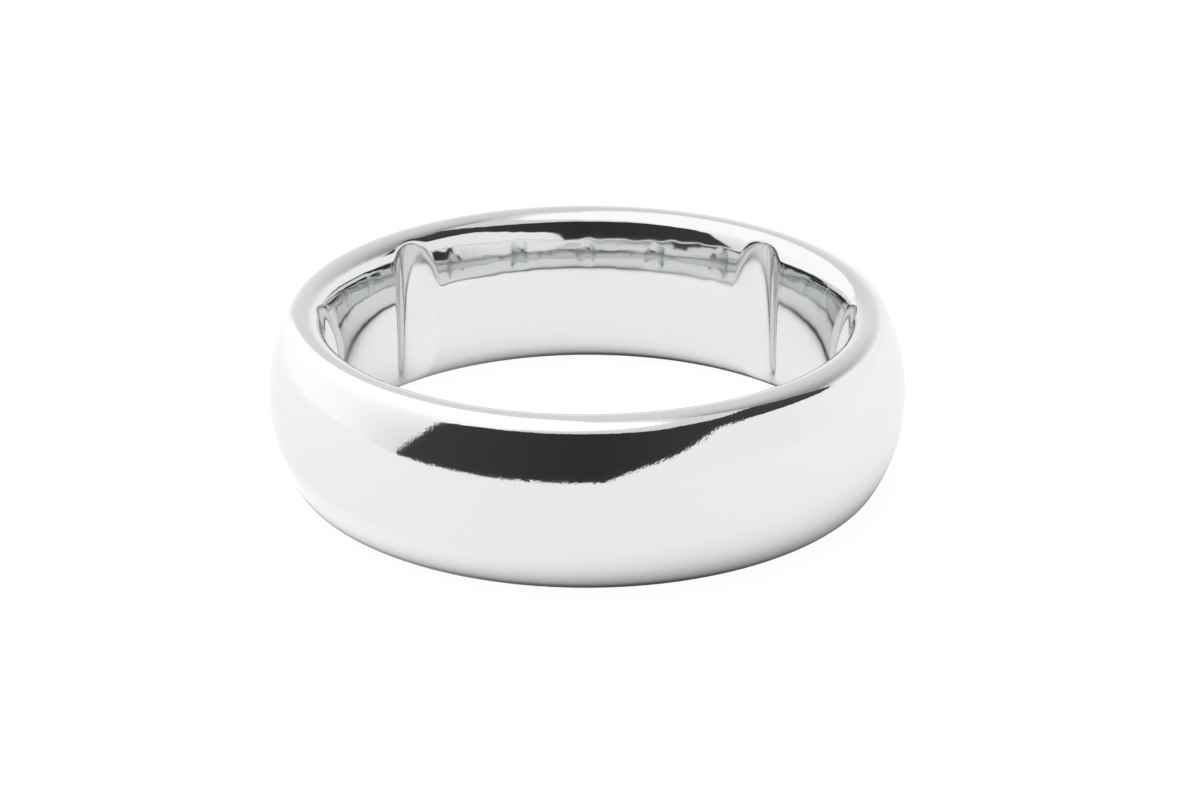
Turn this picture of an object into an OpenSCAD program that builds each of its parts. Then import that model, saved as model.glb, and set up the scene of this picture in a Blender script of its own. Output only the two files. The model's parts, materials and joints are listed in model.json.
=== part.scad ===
// Grooved band ring, lying on its side.
// A one-piece band of polished white metal. The outside is domed across its width, the inside is
// rounded the other way so that it slides over a knuckle, and the rims between them are rolled over.
// Short scooped grooves run along the finger on the inside. One of their places is left bare.
// Z runs along the finger. The origin is the middle of the ring, on the surface it lies on.

/* [Finger] */
// Inside diameter, measured at the middle of the band
finger_d = 17.8; // [15:0.1:24]

/* [Band] */
// Thickness of the metal at the middle of the band
wall = 2.3; // [2.3:0.05:3]
// Width of the band along the finger
band_w = 6; // [5:0.1:6]
// Radius of the domed outside, seen in a cut across the band
dome_r = 5.6; // [5.6:0.05:12]
// Width of the straight stretch in the middle of the inside, bored to the finger size
straight_w = 1.2; // [1:0.1:2]
// Radius at which the inside curves away on each side of it, seen in a cut across the band
comfort_r = 7; // [7:0.1:20]
// Rounding between the dome and a rim
outer_edge_r = 0.6; // [0.2:0.05:0.6]
// Rounding between the inside and a rim
inner_edge_r = 0.65; // [0.2:0.05:0.65]

/* [Grooves] */
// Number of equal places for a groove round the inside
groove_places = 8; // [5:1:12]
// Place that is left without a groove, counted from +X through +Y
bare_place = 2; // [0:1:4]
// Radius of the round cutter that makes a groove
groove_r = 1.15; // [0.8:0.05:1.6]
// Depth of a groove below the bored stretch
groove_depth = 0.55; // [0.3:0.05:0.7]

/* [Hidden] */
$fn = 96;

finger_r = finger_d / 2;
outer_r = finger_r + wall;
half_w = band_w / 2;

// The inside starts to curve away a little short of the end of the straight stretch. It would close
// to slightly less than the finger size, and the bore takes that off.
curve_start = straight_w / 4;
bored_off = comfort_r - sqrt(comfort_r * comfort_r - curve_start * curve_start);

// Centres of the large arcs of the section, as radius and height above the band's middle
dome_centre = [outer_r - dome_r, 0];
comfort_centre = [finger_r - bored_off + comfort_r, curve_start];

// Angle that each large arc has turned through where it runs into its edge rounding
dome_end = asin((half_w - outer_edge_r) / (dome_r - outer_edge_r));
comfort_end = asin((half_w - inner_edge_r - curve_start) / (comfort_r - inner_edge_r));

// Centres of the edge roundings. Each touches its large arc and the rim's plane.
outer_edge_centre = dome_centre + (dome_r - outer_edge_r) * [cos(dome_end), sin(dome_end)];
inner_edge_centre = comfort_centre + (comfort_r - inner_edge_r) * [-cos(comfort_end), sin(comfort_end)];

// Distance of the groove cutter's axis from the ring's axis
cutter_at = finger_r + groove_depth - groove_r;

// What rounding takes away: the part of a wedge that lies beyond an arc about its tip. The wedge
// reaches past the arc by half the band's width, which clears the section.
module rounding_waste(tip, r, from, to) {
    reach = r + half_w;
    middle = (from + to) / 2;
    translate(tip)
        difference() {
            polygon([
                [0, 0],
                reach * [cos(from), sin(from)],
                reach * [cos(middle), sin(middle)],
                reach * [cos(to), sin(to)]
            ]);
            circle(r = r);
        }
}

// A cut across the band, with the ring's axis along Y and the band's middle at zero
module band_section() {
    difference() {
        intersection() {
            translate(dome_centre) circle(r = dome_r);
            translate([finger_r, -half_w]) square([wall, band_w]);
        }
        for (side = [0, 1])
            mirror([0, side]) {
                rounding_waste(outer_edge_centre, outer_edge_r, dome_end, 90);
                rounding_waste(inner_edge_centre, inner_edge_r, 90, 180 - comfort_end);
                rounding_waste(comfort_centre, comfort_r, 180 - comfort_end, 180);
            }
    }
}

// A groove is a straight round scoop, so the rounded inside gives it a leaf-shaped outline
module groove_cutter() {
    translate([cutter_at, 0, -1])
        cylinder(r = groove_r, h = band_w + 2);
}

module band() {
    color("silver")
        difference() {
            translate([0, 0, half_w])
                rotate_extrude() band_section();
            for (place = [0 : groove_places - 1])
                if (place != bare_place)
                    rotate([0, 0, place * 360 / groove_places]) groove_cutter();
        }
}

band();
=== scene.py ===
# %% [markdown]
# # A polished ring with grooves inside
# The object is a domed band ring of polished white metal, lying on its side. Its inside is rounded, so
# that it slides over a knuckle, and has short scooped grooves along the finger. This file makes its
# surface, its finish and the light it is seen in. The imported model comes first, because everything is
# placed by it.

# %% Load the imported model
import json
from math import asin, cos, degrees, pi, radians, sin

import bpy
from mathutils import Matrix, Vector


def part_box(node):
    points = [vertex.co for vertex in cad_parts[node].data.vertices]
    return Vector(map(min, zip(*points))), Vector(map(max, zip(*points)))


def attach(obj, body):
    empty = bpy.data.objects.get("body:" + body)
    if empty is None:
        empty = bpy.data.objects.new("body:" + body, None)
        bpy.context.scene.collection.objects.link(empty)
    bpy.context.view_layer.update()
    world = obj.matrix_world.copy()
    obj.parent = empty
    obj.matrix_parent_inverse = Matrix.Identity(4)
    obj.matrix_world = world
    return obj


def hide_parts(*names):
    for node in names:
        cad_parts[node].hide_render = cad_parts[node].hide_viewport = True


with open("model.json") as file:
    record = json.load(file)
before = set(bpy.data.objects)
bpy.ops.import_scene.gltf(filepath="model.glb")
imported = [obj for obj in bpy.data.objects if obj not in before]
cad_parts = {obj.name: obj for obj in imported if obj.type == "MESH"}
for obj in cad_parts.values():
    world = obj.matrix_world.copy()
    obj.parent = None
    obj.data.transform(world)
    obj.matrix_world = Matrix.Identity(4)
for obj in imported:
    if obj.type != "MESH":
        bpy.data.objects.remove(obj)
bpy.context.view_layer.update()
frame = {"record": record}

MM = 0.001

band_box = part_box("band")
outer_r = (band_box[1][0] - band_box[0][0]) / 2 / MM
half_w = (band_box[1][2] - band_box[0][2]) / 2 / MM
finger_hole = next(mount for mount in frame["record"]["mounts"] if mount["name"] == "finger_hole")
finger_r = finger_hole["dims"]["r_mm"]
print(f"outside {2 * outer_r:.2f} mm, inside {2 * finger_r:.2f} mm, width {2 * half_w:.2f} mm")

# %% [markdown]
# ## The camera
# A ring is small, so a product photographer stands well back with a long lens. The camera looks down at
# it by about 23 degrees. The lens and the distance were found by fitting the ring's outline in the
# photograph.

# %% Place the camera
LOOK_DOWN = radians(22.994)
DISTANCE = 106.46
FOCAL_PIXELS = 3016.1
PAN, TILT, ROLL = radians(0.243), radians(-0.345), radians(-0.099)
SENSOR = 36
PHOTO_WIDTH = 1200
NEAREST_SEEN, FARTHEST_SEEN = 0.001, 10


def add_camera():
    """A camera that faces the middle of the band, then turns a little for the photograph's framing."""
    forward = Vector((0, cos(LOOK_DOWN), -sin(LOOK_DOWN)))
    right = Vector((1, 0, 0))
    up = right.cross(forward)
    place = Vector((0, 0, half_w)) - forward * DISTANCE
    facing = Matrix((right, up, -forward)).transposed()
    turned = facing @ Matrix.Rotation(-PAN, 3, "Y")
    turned = turned @ Matrix.Rotation(TILT, 3, "X") @ Matrix.Rotation(ROLL, 3, "Z")
    data = bpy.data.cameras.new("camera")
    data.sensor_width = SENSOR
    data.lens = FOCAL_PIXELS / PHOTO_WIDTH * SENSOR
    data.clip_start, data.clip_end = NEAREST_SEEN, FARTHEST_SEEN
    camera = bpy.data.objects.new("camera", data)
    camera.matrix_world = Matrix.Translation(place * MM) @ turned.to_4x4()
    bpy.context.scene.collection.objects.link(camera)
    bpy.context.scene.camera = camera
    print(f"camera {DISTANCE:.0f} mm away, lens {data.lens:.1f} mm")


add_camera()

# %% [markdown]
# ## Fields: arithmetic on sockets
# A node tree that follows a formula has dozens of Math nodes. Wiring each one by hand hides the formula,
# so this small class lets Python's own signs add the nodes. The trees for shape and for finish both use
# it.

# %% A number that varies over a surface
NODE_GAP_X, NODE_GAP_Y = 220, 260
NODES_IN_A_ROW = 14


def node_in(tree, kind, **values):
    """Adds a node and fills its inputs by name, from plain values, sockets or Fields."""
    node = tree.nodes.new(kind)
    count = len(tree.nodes)
    node.location = (NODE_GAP_X * (count % NODES_IN_A_ROW), -NODE_GAP_Y * (count // NODES_IN_A_ROW))
    for name, value in values.items():
        plug(tree, node.inputs[name.replace("_", " ")], value)
    return node


def plug(tree, socket, value):
    """Links a socket or a Field to the input socket, or writes a plain value into it."""
    if isinstance(value, Field):
        value = value.source
    if isinstance(value, bpy.types.NodeSocket):
        tree.links.new(value, socket)
    else:
        socket.default_value = value


class Field:
    """A socket that Python's signs can do arithmetic on, one Math node at a time."""

    def __init__(self, tree, source):
        self.tree = tree
        self.source = source

    def math(self, operation, *others):
        node = node_in(self.tree, "ShaderNodeMath")
        node.operation = operation
        for socket, value in zip(node.inputs, (self, *others)):
            plug(self.tree, socket, value)
        return Field(self.tree, node.outputs[0])

    def __add__(self, other):
        return self.math("ADD", other)

    def __sub__(self, other):
        return self.math("SUBTRACT", other)

    def __mul__(self, other):
        return self.math("MULTIPLY", other)

    def __truediv__(self, other):
        return self.math("DIVIDE", other)

    def __pow__(self, other):
        return self.math("POWER", other)

    def __neg__(self):
        return self.math("MULTIPLY", -1.0)

    def __rsub__(self, other):
        return self.math("MULTIPLY_ADD", -1.0, other)

    def larger(self, other):
        return self.math("MAXIMUM", other)

    def smaller(self, other):
        return self.math("MINIMUM", other)

    def clamped(self):
        """The same number, kept from 0 to 1."""
        return self.larger(0.0).smaller(1.0)

    __radd__ = __add__


# %% [markdown]
# ## The section
# Cut the band across and its section is a closed curve: a dome outside, a rounded inside, and rolled
# edges between them. A maker turns the dome and the inside as arcs, and polishing rolls the edges over.
# So the section is drawn as a chain of arcs that run into each other.

# %% Arcs of the section
DOME_R = 5.6
OUTER_EDGE_R = 0.6
NEARLY_STRAIGHT_R, STRAIGHT_HALF = 1000, 0.3
COMFORT_R, COMFORT_HALF = 7.6, 1.4
FLATTER_R, FLATTER_HALF = 10.8, 2.27
SHOULDER_R = 1.6
INNER_EDGE_R = 0.67
FINEST, COARSEST, SPREAD = 0.012, 0.12, 0.08


class Arc:
    """Part of a circle in the section. It starts at the angle start and turns by turn."""

    def __init__(self, centre, radius, start, turn):
        self.centre, self.radius, self.start, self.turn = centre, radius, start, turn
        self.length = abs(turn) * radius

    def point(self, distance):
        angle = self.start + self.turn * distance / self.length
        return self.centre[0] + self.radius * cos(angle), self.centre[1] + self.radius * sin(angle)


def point_beside(centre, side, distance, angle):
    """The point at a distance from the centre, outward or inward by side and up by the angle."""
    return centre[0] + side * distance * cos(angle), centre[1] + distance * sin(angle)


def arc_chain(middle, side, bends, edge_r):
    """Arcs from the middle of the band up to its rim. side is 1 for the outside and -1 for the inside.

    Each bend is a radius and the height where it ends. The last bend has no height, because it runs on
    until it meets the rolled edge, which is the last arc.
    """
    arcs = []
    radius = bends[0][0]
    centre = (middle - side * radius, 0.0)
    leaning = 0.0
    for bend, (next_r, top) in enumerate(bends):
        if bend:
            centre = point_beside(centre, side, radius - next_r, leaning)
            radius = next_r
        if top is None:
            reached = asin((half_w - edge_r - centre[1]) / (radius - edge_r))
        else:
            reached = asin((top - centre[1]) / radius)
        arcs.append((centre, radius, leaning, reached))
        leaning = reached
    centre = point_beside(centre, side, radius - edge_r, leaning)
    arcs.append((centre, edge_r, leaning, pi / 2))
    if side > 0:
        return [Arc(c, r, a, b - a) for c, r, a, b in arcs]
    return [Arc(c, r, pi - a, a - b) for c, r, a, b in arcs]


inside = arc_chain(
    finger_r, -1,
    [
        (NEARLY_STRAIGHT_R, STRAIGHT_HALF), (COMFORT_R, COMFORT_HALF),
        (FLATTER_R, FLATTER_HALF), (SHOULDER_R, None),
    ],
    INNER_EDGE_R,
)
outside = arc_chain(outer_r, 1, [(DOME_R, None)], OUTER_EDGE_R)
rim_inner, rim_outer = inside[-1].centre[0], outside[-1].centre[0]
print(f"flat of the rim from {rim_inner:.3f} to {rim_outer:.3f} mm")

# %% [markdown]
# ## The grooves
# Each groove is a shallow scoop along the finger, such as a round cutter leaves. The inside is rounded,
# so the cutter goes deepest in the middle of the band and runs out just before the rims, and the groove
# has the outline of a leaf. The cutter moves out a little towards the rims, which makes the leaf's ends
# fuller, as in the photograph. Eight places are spaced evenly round the inside, and the one at the rear
# stays bare. The section's points lie close together where a groove's rounded end will be, and spread out
# gently from there, because a mirror finish shows uneven points.

# %% Sizes of the grooves
GROOVE_R, GROOVE_DEPTH = 1.37, 0.39
GROOVE_SIZES = {
    "Places": 8,
    "Bare place": 2,
    "Columns": 60,
    "Cutter radius": GROOVE_R,
    "Cutter distance": finger_r + GROOVE_DEPTH - GROOVE_R,
    "Cutter flare": 0.0275,
    "Edge roll": 0.1,
}


def groove_bottom(z):
    """How far from the ring's axis the deepest line of a groove runs at the height z."""
    cutter_at = GROOVE_SIZES["Cutter distance"] + GROOVE_SIZES["Cutter flare"] * z * z / 2
    return cutter_at + GROOVE_SIZES["Cutter radius"]


# %% Points of the section
HALVINGS = 40


def walk(arcs, flat, back):
    """Length along the chain inside, rim, outside, with the point at a given distance."""
    pieces = [(arc.length, arc.point) for arc in arcs]
    pieces.append((flat, lambda d: (rim_inner + d, half_w)))
    for arc in reversed(back):
        pieces.append((arc.length, lambda d, arc=arc: arc.point(arc.length - d)))
    return pieces


def point_along(pieces, distance):
    """The point of the chain at a distance from its start."""
    for length, point in pieces:
        if distance <= length:
            return point(distance)
        distance -= length
    return pieces[-1][1](pieces[-1][0])


def spaced(total, closest):
    """Distances from 0 to total, closest together about one distance and never far apart."""

    def march(span):
        steps = [0.0]
        while steps[-1] < span:
            steps.append(steps[-1] + min(COARSEST, FINEST + SPREAD * steps[-1]))
        return [step * span / steps[-1] for step in steps]

    before = [closest - step for step in reversed(march(closest))]
    after = [closest + step for step in march(total - closest)[1:]]
    return before + after


half_walk = walk(inside, rim_outer - rim_inner, outside)
half_length = sum(length for length, _ in half_walk)
inside_length = sum(arc.length for arc in inside)


def past_groove(distance):
    """Whether the smooth inside has curved away farther than a groove is deep."""
    r, z = point_along(half_walk, distance)
    return r > groove_bottom(z)


low, high = 0.0, inside_length
for _ in range(HALVINGS):
    middle = (low + high) / 2
    low, high = (low, middle) if past_groove(middle) else (middle, high)
groove_end_at = low
print(f"a groove ends {point_along(half_walk, groove_end_at)[1]:.3f} mm above the band's middle")
upper_half = [point_along(half_walk, distance) for distance in spaced(half_length, groove_end_at)]
lower_half = [(r, -z) for r, z in reversed(upper_half[1:-1])]
section = upper_half + lower_half
print(f"section of {len(section)} points")

# %% [markdown]
# ## The band
# The band follows a rule: the section goes once round, and a round cutter takes a groove at each place
# but one. It could be a Spin and a row of Booleans, but a Boolean leaves slivers beside the grooves that
# a mirror finish shows. So Geometry Nodes works out each point: a grid has one row for each point of the
# section and one column for each angle. The columns follow the grooves' outline, so that every edge is a
# clean line.

# %% A node tree that makes the band
NARROWEST = radians(0.8)
GROOVE_SHARE = 0.44
CROWD_INSIDE, CROWD_OUTSIDE = 1.6, 2.2
SAME_NUMBER = 0.5
WELD_DISTANCE = 1e-4


def new_tree(name, kind, numbers, extras):
    """A node tree with a named number for each size, and any other sockets."""
    tree = bpy.data.node_groups.new(name, kind)
    for title, socket_type in extras:
        tree.interface.new_socket(title, in_out="INPUT", socket_type=socket_type)
    for title, value in numbers.items():
        whole = isinstance(value, int)
        socket = tree.interface.new_socket(
            title, in_out="INPUT", socket_type="NodeSocketInt" if whole else "NodeSocketFloat"
        )
        socket.default_value = value
    return tree


def band_tree():
    tree = new_tree(
        "grooved band", "GeometryNodeTree", GROOVE_SIZES,
        [("Section", "NodeSocketGeometry"), ("Metal", "NodeSocketMaterial")],
    )
    tree.interface.new_socket("Band", in_out="OUTPUT", socket_type="NodeSocketGeometry")
    given = tree.nodes.new("NodeGroupInput")
    size = {name: Field(tree, given.outputs[name]) for name in GROOVE_SIZES}

    # A grid with a row for each point of the section, and its first row and column repeated at the end
    count = node_in(tree, "GeometryNodeAttributeDomainSize", Geometry=given.outputs["Section"])
    rows = Field(tree, count.outputs["Point Count"])
    columns = size["Places"] * size["Columns"]
    grid = node_in(
        tree, "GeometryNodeMeshGrid",
        Size_X=1.0, Size_Y=1.0, Vertices_X=columns + 1, Vertices_Y=rows + 1,
    )
    index = Field(tree, node_in(tree, "GeometryNodeInputIndex").outputs["Index"])
    column = (index / (rows + 1)).math("FLOOR")
    row = index - column * (rows + 1)

    # The section's own point for this row
    sampled = node_in(
        tree, "GeometryNodeSampleIndex",
        Geometry=given.outputs["Section"], Index=row.math("MODULO", rows),
    )
    sampled.data_type = "FLOAT_VECTOR"
    tree.links.new(node_in(tree, "GeometryNodeInputPosition").outputs[0], sampled.inputs["Value"])
    split = node_in(tree, "ShaderNodeSeparateXYZ", Vector=sampled.outputs["Value"])
    smooth_r, height = Field(tree, split.outputs["X"]), Field(tree, split.outputs["Z"])

    # The place this column belongs to, how far across it the column is, from -1 to 1, and half the angle
    # that a place takes
    place = (column / size["Columns"]).math("FLOOR")
    across = (column - place * size["Columns"]) / size["Columns"] * 2 - 1
    side = across.math("SIGN")
    across = across.math("ABSOLUTE")
    half_place = (size["Places"] / pi) ** -1

    # Half the groove's width here, as an angle: where the cutter's circle meets the smooth inside
    cutter_r = size["Cutter radius"]
    cutter_at = size["Cutter distance"] + size["Cutter flare"] * height * height / 2
    squares = smooth_r * smooth_r + cutter_at * cutter_at - cutter_r * cutter_r
    meeting = squares / (smooth_r * cutter_at * 2)
    groove_edge = meeting.smaller(1.0).math("ARCCOSINE").larger(NARROWEST)

    # Columns crowd towards the groove's edge from both sides
    within = 1 - (1 - across / GROOVE_SHARE).larger(0.0) ** CROWD_INSIDE
    beyond = ((across - GROOVE_SHARE) / (1 - GROOVE_SHARE)).larger(0.0) ** CROWD_OUTSIDE
    turned = groove_edge * within + (half_place - groove_edge) * beyond
    angle = place * half_place * 2 + side * turned

    # How far out the cutter reaches at this angle. The bare place has no cutter.
    sideways = cutter_at * turned.math("SINE")
    past_axis = (cutter_r * cutter_r - sideways * sideways).larger(0.0).math("SQRT")
    bare = place.math("COMPARE", size["Bare place"], SAME_NUMBER)
    reach = (cutter_at * turned.math("COSINE") + past_axis) * (1 - bare)

    # The farther of the smooth inside and the cut, with the edge between them rolled
    roll = size["Edge roll"]
    deeper = reach - smooth_r
    rolled = (1 - deeper.math("ABSOLUTE") / roll).larger(0.0)
    radius = smooth_r.larger(reach) + rolled * rolled * roll / 4
    moved = node_in(
        tree, "ShaderNodeCombineXYZ",
        X=radius * angle.math("COSINE"), Y=radius * angle.math("SINE"), Z=height,
    )
    shaped = node_in(
        tree, "GeometryNodeSetPosition",
        Geometry=grid.outputs["Mesh"], Position=moved.outputs["Vector"],
    )

    # Marks for the finish: the rolled edges, and the inside of the grooves
    marked = shaped.outputs["Geometry"]
    in_groove = (deeper / roll * 0.5 + 0.5).clamped()
    for name, value in (("rolled", rolled), ("groove", in_groove)):
        kept = node_in(tree, "GeometryNodeStoreNamedAttribute", Geometry=marked, Name=name, Value=value)
        marked = kept.outputs["Geometry"]

    # The grid's ends are welded to its beginnings
    seam_columns = column.math("COMPARE", 0.0, SAME_NUMBER) + column.math("COMPARE", columns, SAME_NUMBER)
    seam_rows = row.math("COMPARE", 0.0, SAME_NUMBER) + row.math("COMPARE", rows, SAME_NUMBER)
    welded = node_in(
        tree, "GeometryNodeMergeByDistance",
        Geometry=marked, Selection=seam_columns + seam_rows, Distance=WELD_DISTANCE,
    )

    # Wrapped this way the grid's faces look into the metal, so they are turned to look out of it
    outward = node_in(tree, "GeometryNodeFlipFaces", Mesh=welded.outputs["Geometry"])
    smooth = node_in(tree, "GeometryNodeSetShadeSmooth", Geometry=outward.outputs["Mesh"])
    real = node_in(tree, "GeometryNodeRealizeInstances", Geometry=smooth.outputs["Geometry"])
    done = node_in(
        tree, "GeometryNodeSetMaterial",
        Geometry=real.outputs["Geometry"], Material=given.outputs["Metal"],
    )
    tree.links.new(done.outputs["Geometry"], tree.nodes.new("NodeGroupOutput").inputs["Band"])
    print(f"band tree of {len(tree.nodes)} nodes")
    return tree


# %% [markdown]
# ## Polished metal
# The ring is mirror-polished, so nearly all that is seen of it is what it reflects, and the finish shows
# where a reflection ends. A buffing wheel runs round the outside. It leaves hair-fine lines that way, and
# its soft edge leaves the surface a little wavy. Inside, only a small felt bob reaches. It leaves the
# metal wavier towards the rims, so that a straight edge is reflected as a wavy one. The inside is also
# painted a little darker, as painted shade that deepens its reflections of reflections.
# The metal's grain gives the outside a very fine orange peel, which makes the edge of a reflection look
# serrated. The grooves' edges are rubbed a little matt by wear. All of it is so shallow that only a Bump
# node can show it: its height is in millimetres here, and the tallest wave is little more than a
# hundredth of one.

# %% The metal
# The inside's colour is darker than the outside's: painted shade for its reflections of reflections
METAL_OUTSIDE, METAL_INSIDE_PAINTED_SHADE = (0.80, 0.812, 0.80, 1), (0.765, 0.777, 0.765, 1)
METAL_EDGE = (0.94, 0.94, 0.94, 1)
INSIDE_FROM, INSIDE_TO = 9.95, 9.6
ROUGH_METAL, ROUGH_GROOVE, ROUGH_EDGE, ROUGH_LINES = 0.04, 0.03, 0.06, 0.03
WAVE_SCALE, WAVE_OUTSIDE, WAVE_INSIDE, WAVE_RIM = 1.1, 0.0012, 0.004, 0.014
WAVY_FROM, WAVY_TO = 0.6, 2.2
PEEL_SCALE, PEEL_HEIGHT = 9.0, 0.0014
LINE_SCALE, LINE_LENGTH, LINE_HEIGHT = 14.0, 3.0, 0.00004


def ramp(value, start, end):
    """0 at start and before it, 1 at end and past it, and even between."""
    return ((value - start) / (end - start)).clamped()


def noise(tree, dimensions, scale, detail, **inputs):
    """A noise texture's number, with its other inputs given by name."""
    node = node_in(tree, "ShaderNodeTexNoise", Scale=scale, Detail=detail)
    node.noise_dimensions = dimensions
    for name, value in inputs.items():
        plug(tree, node.inputs[name], value)
    return Field(tree, node.outputs["Fac"])


def attribute(tree, name):
    node = tree.nodes.new("ShaderNodeAttribute")
    node.attribute_name = name
    return Field(tree, node.outputs["Fac"])


def colour_mix(tree, under, over, amount):
    """A colour between two others. A Mix node for colours keeps its sockets at 0, 6 and 7."""
    node = tree.nodes.new("ShaderNodeMix")
    node.data_type = "RGBA"
    for socket, value in zip((node.inputs[0], node.inputs[6], node.inputs[7]), (amount, under, over)):
        plug(tree, socket, value)
    return node.outputs[2]


def polished_metal():
    material = bpy.data.materials.new("polished white metal")
    material.use_nodes = True
    tree = material.node_tree
    place = tree.nodes.new("ShaderNodeTexCoord").outputs["Object"]
    in_mm = node_in(tree, "ShaderNodeMapping", Vector=place, Scale=(1 / MM, 1 / MM, 1 / MM)).outputs[0]
    at = node_in(tree, "ShaderNodeSeparateXYZ", Vector=in_mm)
    x, y, z = (Field(tree, at.outputs[axis]) for axis in "XYZ")
    from_axis = (x * x + y * y).math("SQRT")
    is_inside = ramp(from_axis, INSIDE_FROM, INSIDE_TO)
    groove, rolled = (attribute(tree, name) for name in ("groove", "rolled"))

    # Lines round the band: quick to change across it, slow along it, and without a seam
    round_band = node_in(
        tree, "ShaderNodeCombineXYZ",
        X=x / from_axis * LINE_LENGTH, Y=y / from_axis * LINE_LENGTH, Z=z * LINE_SCALE,
    )
    lines = noise(tree, "4D", scale=1.0, detail=2.0, Vector=round_band.outputs[0], W=from_axis * LINE_SCALE)
    wave = noise(tree, "3D", WAVE_SCALE, detail=1.0, Vector=in_mm)
    peel = noise(tree, "3D", PEEL_SCALE, detail=1.0, Vector=in_mm)

    rough = groove * ROUGH_GROOVE + rolled * ROUGH_EDGE + lines * ROUGH_LINES + ROUGH_METAL
    near_rim = ramp((z - half_w).math("ABSOLUTE"), WAVY_FROM, WAVY_TO)
    wave_inside = near_rim * (WAVE_RIM - WAVE_INSIDE) + WAVE_INSIDE
    height = wave * (is_inside * (wave_inside - WAVE_OUTSIDE) + WAVE_OUTSIDE)
    height = height + (peel * PEEL_HEIGHT + lines * LINE_HEIGHT) * (1 - is_inside)
    bump = node_in(tree, "ShaderNodeBump", Height=height, Distance=MM)
    shader = tree.nodes["Principled BSDF"]
    # The base colour is darker inside the ring: painted shade
    plug(tree, shader.inputs["Base Color"], colour_mix(tree, METAL_OUTSIDE, METAL_INSIDE_PAINTED_SHADE, is_inside))
    shader.inputs["Metallic"].default_value = 1.0
    shader.inputs["Specular Tint"].default_value = METAL_EDGE
    plug(tree, shader.inputs["Roughness"], rough)
    plug(tree, shader.inputs["Normal"], bump.outputs[0])
    print(f"metal of {len(tree.nodes)} nodes")
    return material


# %% [markdown]
# ## Running the tree
# The tree gets the section as a closed line of points and makes the whole band from it. A live modifier
# would do for a render. Here the result is kept as a plain mesh, so that an export holds just what is
# seen. The tree works in millimetres round the middle of the band, so the mesh is made a thousand times
# smaller and lifted by half the band's width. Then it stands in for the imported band.

# %% Make the band


def section_mesh(points):
    mesh = bpy.data.meshes.new("section")
    count = len(points)
    mesh.from_pydata([(r, 0, z) for r, z in points], [(n, (n + 1) % count) for n in range(count)], [])
    return mesh


def grown(name, mesh, tree, values):
    """Runs a node tree on a mesh and returns the result as a plain object."""
    carrier = bpy.data.objects.new(name + "_tree", mesh)
    bpy.context.scene.collection.objects.link(carrier)
    modifier = carrier.modifiers.new(name, "NODES")
    modifier.node_group = tree
    for item in tree.interface.items_tree:
        if item.item_type == "SOCKET" and item.in_out == "INPUT" and item.name in values:
            modifier[item.identifier] = values[item.name]
    seen = carrier.evaluated_get(bpy.context.evaluated_depsgraph_get())
    plain = bpy.data.meshes.new_from_object(seen)
    bpy.data.objects.remove(carrier)
    piece = bpy.data.objects.new(name, plain)
    bpy.context.scene.collection.objects.link(piece)
    return piece


metal = polished_metal()
band = grown("polished_band", section_mesh(section), band_tree(), {**GROOVE_SIZES, "Metal": metal})
band.data.transform(Matrix.Translation((0, 0, half_w * MM)) @ Matrix.Scale(MM, 4))
print(f"band of {len(band.data.polygons)} faces")
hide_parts("band")
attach(band, "root")

# %% [markdown]
# ## The table
# The ring lies on a white light table. It glows, so there is hardly any shadow on it. A contact shadow is
# painted into the glow: it fades close to the line where the ring touches the table, and a mirror-polished
# ring shows that painted shadow as a thin dark edge along its foot. The painted shadow is a little wider on
# the right, as if the light came more from the left. Light is painted into the glow too: the table is
# brightest behind the ring on the left, as if the tent's bright wall lit it. It is cut away at its front
# left, and the dome reflects that edge as the lower end of a dark patch. The table belongs to the stage,
# not to the object, so its sizes are plain numbers in millimetres.

# %% Lay the table
TABLE_REACH = 3000
TABLE_CORNER = (-170, -60)
SAFE_MIDDLE = 0.1

# The painted contact shadow at the ring's foot: where it starts, how dark it is, and how far it takes to
# fade
CONTACT_R = (rim_inner + rim_outer) / 2
SHADE_START, SHADE_SEEN = 0.5, 0.03
SHADE_DEPTH, SHADE_DEPTH_ASIDE, SHADE_DEPTH_RIGHT = 0.9, -0.32, 0.14
SHADE_FADE, SHADE_FADE_RIGHT, SHADE_FADE_FRONT = 0.45, 0.35, 0.35

# Painted light: what the glow gains inside the ring and outside it
GAIN_FROM, GAIN_TO = 10.5, 12
INSIDE_GAIN, INSIDE_GAIN_ASIDE, INSIDE_GAIN_LEFT = 0.045, 0.12, 0.02
OUTSIDE_GAIN, OUTSIDE_GAIN_ASIDE = 0.015, 0.03
GAIN_BEHIND, BEHIND_TURN = 0.12, radians(-10)
LIT_FROM, LIT_SOFT, LIT_GAIN = 23, 16, 0.09


def stage_sheet(name, corners, faces, material):
    """A sheet of the stage. Corners are in millimetres."""
    mesh = bpy.data.meshes.new(name)
    mesh.from_pydata([Vector(corner) * MM for corner in corners], [], faces)
    mesh.materials.append(material)
    sheet = bpy.data.objects.new(name, mesh)
    bpy.context.scene.collection.objects.link(sheet)
    return sheet


def blend(under, over, amount):
    """The number under, or over where amount is 1."""
    return under + (over - under) * amount


def above(value, edge, soft):
    """1 where value is past the edge, 0 before it, and smooth over a width of soft."""
    part = ((value - edge) / soft + 0.5).clamped()
    return part * part * (3 - part * 2)


def light_path(tree, ray):
    return Field(tree, tree.nodes.new("ShaderNodeLightPath").outputs[ray])


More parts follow.
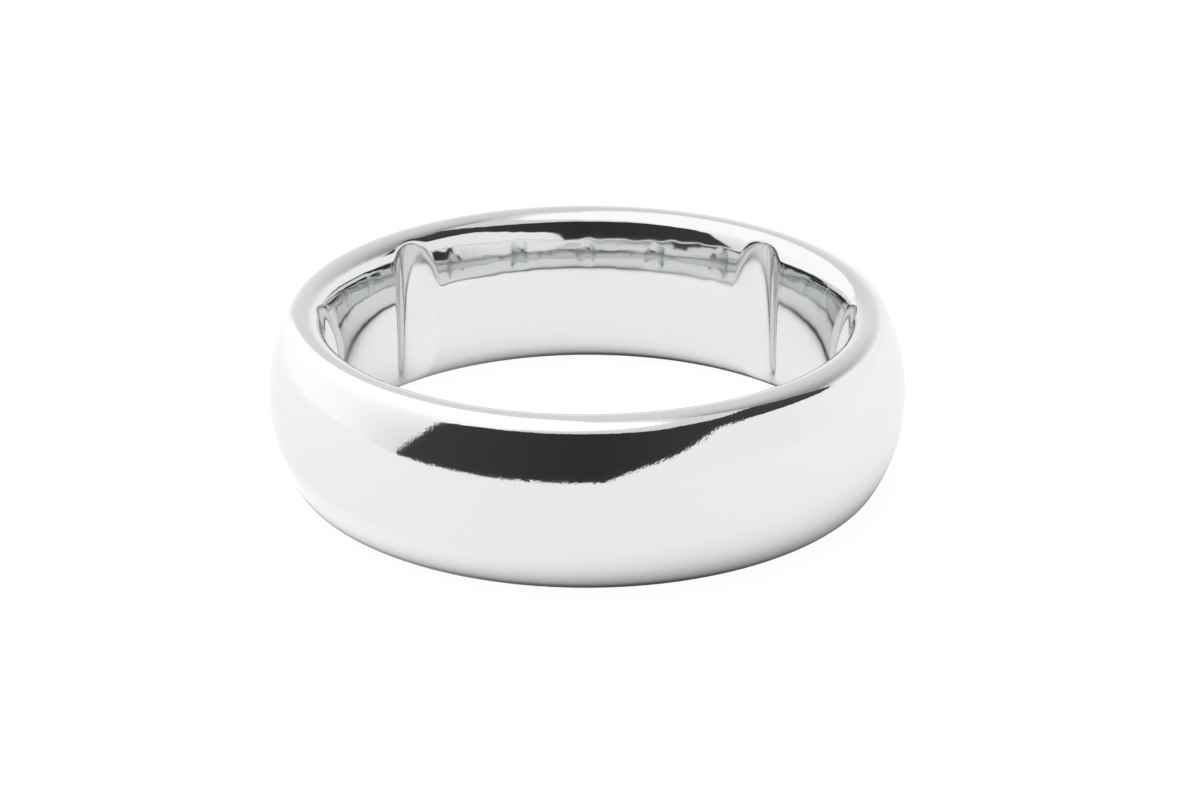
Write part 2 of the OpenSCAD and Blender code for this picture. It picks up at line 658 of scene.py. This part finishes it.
def table_with_painted_light():
    material = bpy.data.materials.new("light table")
    material.use_nodes = True
    tree = material.node_tree
    place = tree.nodes.new("ShaderNodeTexCoord").outputs["Object"]
    at = node_in(tree, "ShaderNodeSeparateXYZ", Vector=place)
    x, y = (Field(tree, at.outputs[axis]) / MM for axis in "XY")
    from_axis = (x * x + y * y).math("SQRT").larger(SAFE_MIDDLE)
    right = x / from_axis
    beyond = from_axis - CONTACT_R
    outward = beyond.math("SIGN")

    # The painted contact shadow: the glow is darkened along the ring's foot
    depth = SHADE_DEPTH + right * right * SHADE_DEPTH_ASIDE + right * SHADE_DEPTH_RIGHT
    front_inside = (-y / from_axis).larger(0.0) * (-outward).larger(0.0)
    fade = SHADE_FADE + right * outward * SHADE_FADE_RIGHT + front_inside * SHADE_FADE_FRONT
    away = (beyond.math("ABSOLUTE") - SHADE_START).larger(0.0)
    glow_with_painted_light = 1 - depth * (-away / fade).math("EXPONENT")

    # Painted light: the table is brighter inside the ring at its sides, and outside it behind the ring
    sideways = x / GAIN_FROM
    inside_gain = sideways * sideways * INSIDE_GAIN_ASIDE - sideways * INSIDE_GAIN_LEFT + INSIDE_GAIN
    behind = (x * sin(BEHIND_TURN) + y * cos(BEHIND_TURN)) / from_axis * 0.5 + 0.5
    outside_gain = behind * behind * GAIN_BEHIND + right * right * OUTSIDE_GAIN_ASIDE + OUTSIDE_GAIN
    # Painted light: a brighter patch behind the ring on the left, as if the tent's bright wall lit it
    lit = above(y, LIT_FROM, LIT_SOFT) * (1 - above(x, 0.0, LIT_SOFT))
    outside_gain = outside_gain + lit * LIT_GAIN
    glow_with_painted_light = glow_with_painted_light * (1 + blend(inside_gain, outside_gain, ramp(from_axis, GAIN_FROM, GAIN_TO)))

    # The camera sees hardly any of this painted shade and light, only the ring does
    seen = 1 + (glow_with_painted_light - 1) * SHADE_SEEN
    glow_with_painted_light = blend(glow_with_painted_light, seen, light_path(tree, "Is Camera Ray"))
    shader = tree.nodes["Principled BSDF"]
    shader.inputs["Base Color"].default_value = (0, 0, 0, 1)
    shader.inputs["Specular IOR Level"].default_value = 0.0
    shader.inputs["Emission Color"].default_value = (1, 1, 1, 1)
    plug(tree, shader.inputs["Emission Strength"], glow_with_painted_light)
    return material


left, front = TABLE_CORNER
table_corners = [
    (-TABLE_REACH, front, 0), (left, front, 0), (TABLE_REACH, front, 0),
    (left, -TABLE_REACH, 0), (TABLE_REACH, -TABLE_REACH, 0),
    (TABLE_REACH, TABLE_REACH, 0), (-TABLE_REACH, TABLE_REACH, 0),
]
table_faces = [(0, 1, 2, 5, 6), (3, 4, 2, 1)]
stage_sheet("table", table_corners, table_faces, table_with_painted_light())
print(f"table with its dark line {CONTACT_R:.2f} mm from the ring's axis")

# %% [markdown]
# ## The light
# A mirror shows its surroundings, so they are most of its look. The ring stands in a white light tent. In
# front, where the photographer stands, the tent has a dark opening that runs round to the right. A white
# card leans across its lower right corner, and the cloth above the opening sags in a pale grey fold.
# Behind the ring on the right hangs a grey screen that gets darker towards the opening. The wall on the
# left is bright all the way down, but towards the opening its lower part is dimmer.
#
# Lamps and sheets could make all this, but the world can too: it is a brightness for each direction, and
# it costs no rays. Directions round the ring are in degrees, from 0 behind it, by 90 on its right and 180
# in front, up to 360. Heights are in degrees above the horizon. Drawn curves give the height of each
# edge.

# %% Shapes in the tent
LOWEST, HIGHEST = -10, 80
DARK_TOP = (
    (0, 57), (90, 57), (96, 55.5), (108, 51.5), (120, 47.5), (132, 43.5), (144, 39.7), (150, 37.1),
    (180, 36.3), (205, 35), (220, 33.2), (230, 29.5), (236.8, 26), (240, 17), (244.2, 8), (248.4, 0),
    (250, -10), (360, -10),
)
CARD_TOP = (
    (0, 17), (78, 17.5), (84, 18.3), (90, 20), (96, 22.1), (108, 24), (120, 25.1), (130, 25.1),
    (134, 22.8), (140, 19.3), (148, 14.2), (160, 8.7), (168, 4.5), (174, -0.4), (178, -10), (360, -10),
)
FOLD_TOP = (
    (0, 80), (84, 79), (96, 76), (108, 73), (120, 69), (132, 64), (144, 59), (156, 55),
    (172, 50), (188, 44), (205, 41), (218, 33), (228, 25), (240, -10), (360, -10),
)

# Where each soft edge has its middle, and how wide it is
OPENING_LEFT = 78
CARD_START, DARK_START, SCREEN_END = (OPENING_LEFT - 12, 16), (OPENING_LEFT, 4), (OPENING_LEFT, 2)
WHITE_FROM, WALL_END = (16, 16), (-24, 6)
SCREEN_LEFT, SCREEN_LEAN, SCREEN_SOFT = -30.5, 0.42, 5
SCREEN_FOOT, FOOT_RISE, FOOT_BEND, SCREEN_TOP, SCREEN_FADE = 15, 0.22, 0.0014, 75, 22
CARD_SOFT, FOLD_SOFT, DARK_SOFT = 1.2, 9, 1.6
SOFTER_FROM, SOFTER = (237, 12), 4

# How bright each thing is. A dim part of the left wall has a brightness, a side edge and a top edge.
TENT_WHITE, TENT_LOW, LOW_FALL, TENT_FOLD = 1.24, 1.1, 0.0006, 0.81
DIM_PARTS = ((1.12, (-78, 50), (18, 24)), (0.84, (-103, 40), (22, 50)))
GREY_FROM, SCREEN_PALE, SCREEN_FALL, SCREEN_FALL_LATER = -17, 0.84, 0.12, 0.42
CARD_WHITE, CARD_BRIGHTER, CARD_RISE = 1.02, 103, 0.0014
DARKNESS, DARKNESS_ASIDE = 0.03, 0.0003
WHITE, DARK_TINT = (1, 1, 1, 1), (0.98, 1.08, 0.98, 1)

# %% [markdown]
# ## Painting the tent
# The tent starts as white cloth, and each thing is laid over what is there so far, as a painter would do
# it: the left wall, the screen, the fold, the dark opening, and the card in front of that. Every edge has
# a width over which it fades, because a sharp one would look drawn on the metal.

# %% Build the world


def curve_of(tree, turn, points):
    """The height of a drawn curve. A Float Curve runs from 0 to 1 both ways."""
    node = node_in(tree, "ShaderNodeFloatCurve", Value=turn / 360)
    curve = node.mapping.curves[0]
    places = [(at / 360, (height - LOWEST) / (HIGHEST - LOWEST)) for at, height in points]
    while len(curve.points) < len(places):
        curve.points.new(0.5, 0.5)
    for point, place in zip(curve.points, places):
        point.location = place
        point.handle_type = "VECTOR"
    node.mapping.update()
    return Field(tree, node.outputs[0]) * (HIGHEST - LOWEST) + LOWEST


def tent_light(tree, turn, rise):
    """The tent's brightness, one thing laid over the other, and how much of it is the dark opening."""
    behind = (turn + 180).math("FLOORED_MODULO", 360.0) - 180
    light = blend(TENT_LOW - behind.math("ABSOLUTE") * LOW_FALL, TENT_WHITE, above(rise, *WHITE_FROM))

    # The wall on the left
    light = blend(light, TENT_WHITE, 1 - above(behind, *WALL_END))
    for dim_light, side, top in DIM_PARTS:
        light = blend(light, dim_light, (1 - above(behind, *side)) * (1 - above(rise, *top)))

    # The screen behind the ring, and the fold above the opening
    along = ramp(behind, GREY_FROM, OPENING_LEFT)
    shaded = SCREEN_PALE - along * SCREEN_FALL - along * along * SCREEN_FALL_LATER
    screen = above(behind, rise * SCREEN_LEAN + SCREEN_LEFT, SCREEN_SOFT) * (1 - above(behind, *SCREEN_END))
    foot = behind * FOOT_RISE - behind * behind * FOOT_BEND + SCREEN_FOOT
    screen = screen * above(rise, foot, SCREEN_FADE) * (1 - above(rise, SCREEN_TOP, SCREEN_FADE))
    light = blend(light, shaded, screen)
    past_screen = above(turn, *DARK_START)
    fold = past_screen * (1 - above(rise, curve_of(tree, turn, FOLD_TOP), FOLD_SOFT))
    light = blend(light, TENT_FOLD, fold)

    # The dark opening, with the card in front of it
    dark_soft = above(turn, *SOFTER_FROM) * SOFTER + DARK_SOFT
    dark = past_screen * (1 - above(rise, curve_of(tree, turn, DARK_TOP), dark_soft))
    light = blend(light, DARKNESS + (turn - 180).math("ABSOLUTE") * DARKNESS_ASIDE, dark)
    card = above(turn, *CARD_START) * (1 - above(rise, curve_of(tree, turn, CARD_TOP), CARD_SOFT))
    card_light = CARD_WHITE + (CARD_BRIGHTER - turn).larger(0.0) * CARD_RISE
    return blend(light, card_light, card), dark * (1 - card)


def add_world():
    world = bpy.data.worlds.new("light tent")
    bpy.context.scene.world = world
    world.use_nodes = True
    tree = world.node_tree
    looked_along = tree.nodes.new("ShaderNodeTexCoord").outputs["Generated"]
    direction = node_in(tree, "ShaderNodeSeparateXYZ", Vector=looked_along)
    x, y, z = (Field(tree, direction.outputs[axis]) for axis in "XYZ")
    turn = (x.math("ARCTAN2", y) * degrees(1) + 360).math("FLOORED_MODULO", 360.0)
    rise = z.smaller(1.0).larger(-1.0).math("ARCSINE") * degrees(1)
    light, dark = tent_light(tree, turn, rise)

    # The camera looks past the ring at plain white
    seen = light_path(tree, "Is Camera Ray")
    light = blend(light, 1.0, seen)
    background = tree.nodes["Background"]
    plug(tree, background.inputs["Color"], colour_mix(tree, WHITE, DARK_TINT, dark * (1 - seen)))
    plug(tree, background.inputs["Strength"], light)
    print(f"light tent of {len(tree.nodes)} nodes")


add_world()
bpy.context.scene.view_settings.view_transform = "Standard"

# Inside the ring a reflection is reflected many times over
GLOSSY_BOUNCES = 10
bpy.context.scene.cycles.glossy_bounces = GLOSSY_BOUNCES
